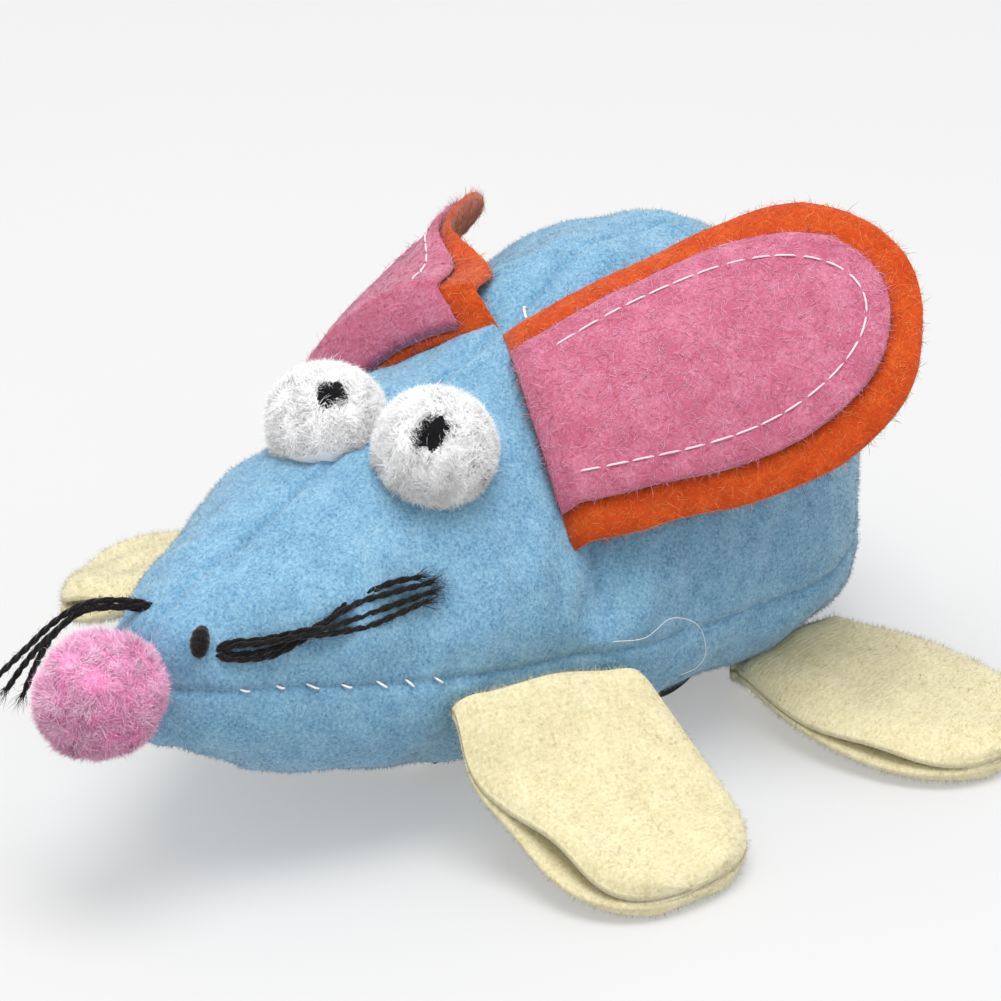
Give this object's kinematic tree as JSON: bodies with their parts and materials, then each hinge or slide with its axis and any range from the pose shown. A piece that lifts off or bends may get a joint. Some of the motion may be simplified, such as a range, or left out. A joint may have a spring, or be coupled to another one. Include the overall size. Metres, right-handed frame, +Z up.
{
  "type": "clockwork plush mouse",
  "caption": "Small plush mouse with felt ears, velour feet and pompom eyes and nose, driven by a wind-up spring motor with wheels under its belly.",
  "frame": {"origin": "centre of the footprint box, on the surface that the mouse stands on", "axes": "+X towards the nose, +Y towards the left ear, +Z up"},
  "size_m": [0.1083, 0.097, 0.0518],
  "materials": {
    "fleece": "short-nap sky-blue fleece",
    "stuffing": "loose polyester fibre",
    "nose_pompom": "fluffy pink pompom fibre",
    "eye_pompom": "fluffy white pompom fibre",
    "whisker_yarn": "twisted black yarn",
    "ear_felt": "orange craft felt",
    "lining_felt": "pink craft felt",
    "velour": "cream ribbed velour",
    "base_plastic": "moulded, fine texture",
    "case_plastic": "moulded, satin",
    "gear_brass": "stamped",
    "spring_steel": "blued strip",
    "plated_steel": "bright plated",
    "wheel_plastic": "moulded, satin",
    "tyre_rubber": "matt rubber"
  },
  "bodies": {
    "root": {"head_panel_left": "fleece", "head_panel_right": "fleece", "back_panel_left": "fleece", "back_panel_right": "fleece", "belly_panel": "fleece", "stuffing": "stuffing", "nose_pompom": "nose_pompom", "eye_pompom_left": "eye_pompom", "eye_pompom_right": "eye_pompom", "whiskers_left": "whisker_yarn", "whiskers_right": "whisker_yarn", "base_plate": "base_plastic", "motor_case_right": "case_plastic", "motor_case_left": "case_plastic", "case_screws": "plated_steel", "base_screws": "plated_steel", "key_eyelet": "plated_steel", "mainspring": "spring_steel", "spring_pillar": "plated_steel"},
    "drive_wheels": {"axle_pinion": "gear_brass", "drive_axle": "plated_steel", "wheel_hub_left": "wheel_plastic", "wheel_hub_right": "wheel_plastic", "wheel_tyre_left": "tyre_rubber", "wheel_tyre_right": "tyre_rubber"},
    "second_gear": {"second_arbor": "plated_steel", "second_wheel": "gear_brass", "second_pinion": "gear_brass"},
    "great_wheel": {"great_gear": "gear_brass", "click_spring": "spring_steel"},
    "governor": {"governor_arbor": "plated_steel", "governor_pinion": "gear_brass", "governor_rotor": "wheel_plastic", "governor_weights": "plated_steel"},
    "winding_shaft": {"winding_key": "plated_steel", "winding_arbor": "plated_steel", "ratchet_wheel": "gear_brass"},
    "roller": {"front_roller": "wheel_plastic", "roller_axle": "plated_steel"},
    "ear_left": {"ear_back_left": "ear_felt", "ear_lining_left": "lining_felt"},
    "ear_right": {"ear_back_right": "ear_felt", "ear_lining_right": "lining_felt"},
    "foot_front_left": {"foot_top_front_left": "velour", "foot_sole_front_left": "velour"},
    "foot_front_right": {"foot_top_front_right": "velour", "foot_sole_front_right": "velour"},
    "foot_rear_left": {"foot_top_rear_left": "velour", "foot_sole_rear_left": "velour"},
    "foot_rear_right": {"foot_top_rear_right": "velour", "foot_sole_rear_right": "velour"}
  },
  "joints": [
    {"name": "axle_spin", "type": "hinge", "parent": "root", "child": "drive_wheels", "pos_m": [-0.01987, 0, 0.008], "axis": [0, 1, 0], "continuous": true},
    {"name": "second_spin", "type": "hinge", "parent": "root", "child": "second_gear", "pos_m": [-0.02246, 0, 0.01766], "axis": [0, 1, 0], "continuous": true},
    {"name": "great_spin", "type": "hinge", "parent": "root", "child": "great_wheel", "pos_m": [-0.01, 0, 0.0166], "axis": [0, 1, 0], "continuous": true},
    {"name": "governor_spin", "type": "hinge", "parent": "root", "child": "governor", "pos_m": [-0.01746, 0, 0.02632], "axis": [0, 1, 0], "continuous": true},
    {"name": "winding", "type": "hinge", "parent": "great_wheel", "child": "winding_shaft", "pos_m": [-0.01, 0, 0.0166], "axis": [0, 1, 0], "range_deg": [0, 1440], "deforming": ["mainspring", "click_spring"]},
    {"name": "roller_spin", "type": "hinge", "parent": "root", "child": "roller", "pos_m": [0.0064, 0, 0.0036], "axis": [0, 1, 0], "continuous": true},
    {"name": "ear_left_flap", "type": "hinge", "parent": "root", "child": "ear_left", "pos_m": [-0.0029, 0.0117, 0.03508], "axis": [0.3567, 0.6794, -0.6412], "range_deg": [-4, 25], "stiffness_Nm_per_rad": 0.004},
    {"name": "ear_right_flap", "type": "hinge", "parent": "root", "child": "ear_right", "pos_m": [-0.00416, -0.01204, 0.03658], "axis": [-0.3567, 0.6794, 0.6412], "range_deg": [-3, 25], "stiffness_Nm_per_rad": 0.004},
    {"name": "foot_front_left_flap", "type": "hinge", "parent": "root", "child": "foot_front_left", "pos_m": [0.0082, 0.0198, 0.0165], "axis": [0.8988, -0.4384, 0], "range_deg": [-4, 30]},
    {"name": "foot_front_right_flap", "type": "hinge", "parent": "root", "child": "foot_front_right", "pos_m": [0.0088, -0.0208, 0.0175], "axis": [-0.9799, -0.1994, 0], "range_deg": [-4, 30]},
    {"name": "foot_rear_left_flap", "type": "hinge", "parent": "root", "child": "foot_rear_left", "pos_m": [-0.0275, 0.0214, 0.0075], "axis": [0.999, -0.0454, 0], "range_deg": [-3, 15]},
    {"name": "foot_rear_right_flap", "type": "hinge", "parent": "root", "child": "foot_rear_right", "pos_m": [-0.0275, -0.0214, 0.0075], "axis": [-0.999, -0.0454, 0], "range_deg": [-3, 15]}
  ],
  "couplings": [
    {"joint": "second_spin", "follows": "axle_spin", "ratio": -0.33333},
    {"joint": "great_spin", "follows": "axle_spin", "ratio": 0.083333},
    {"joint": "governor_spin", "follows": "axle_spin", "ratio": 1}
  ]
}
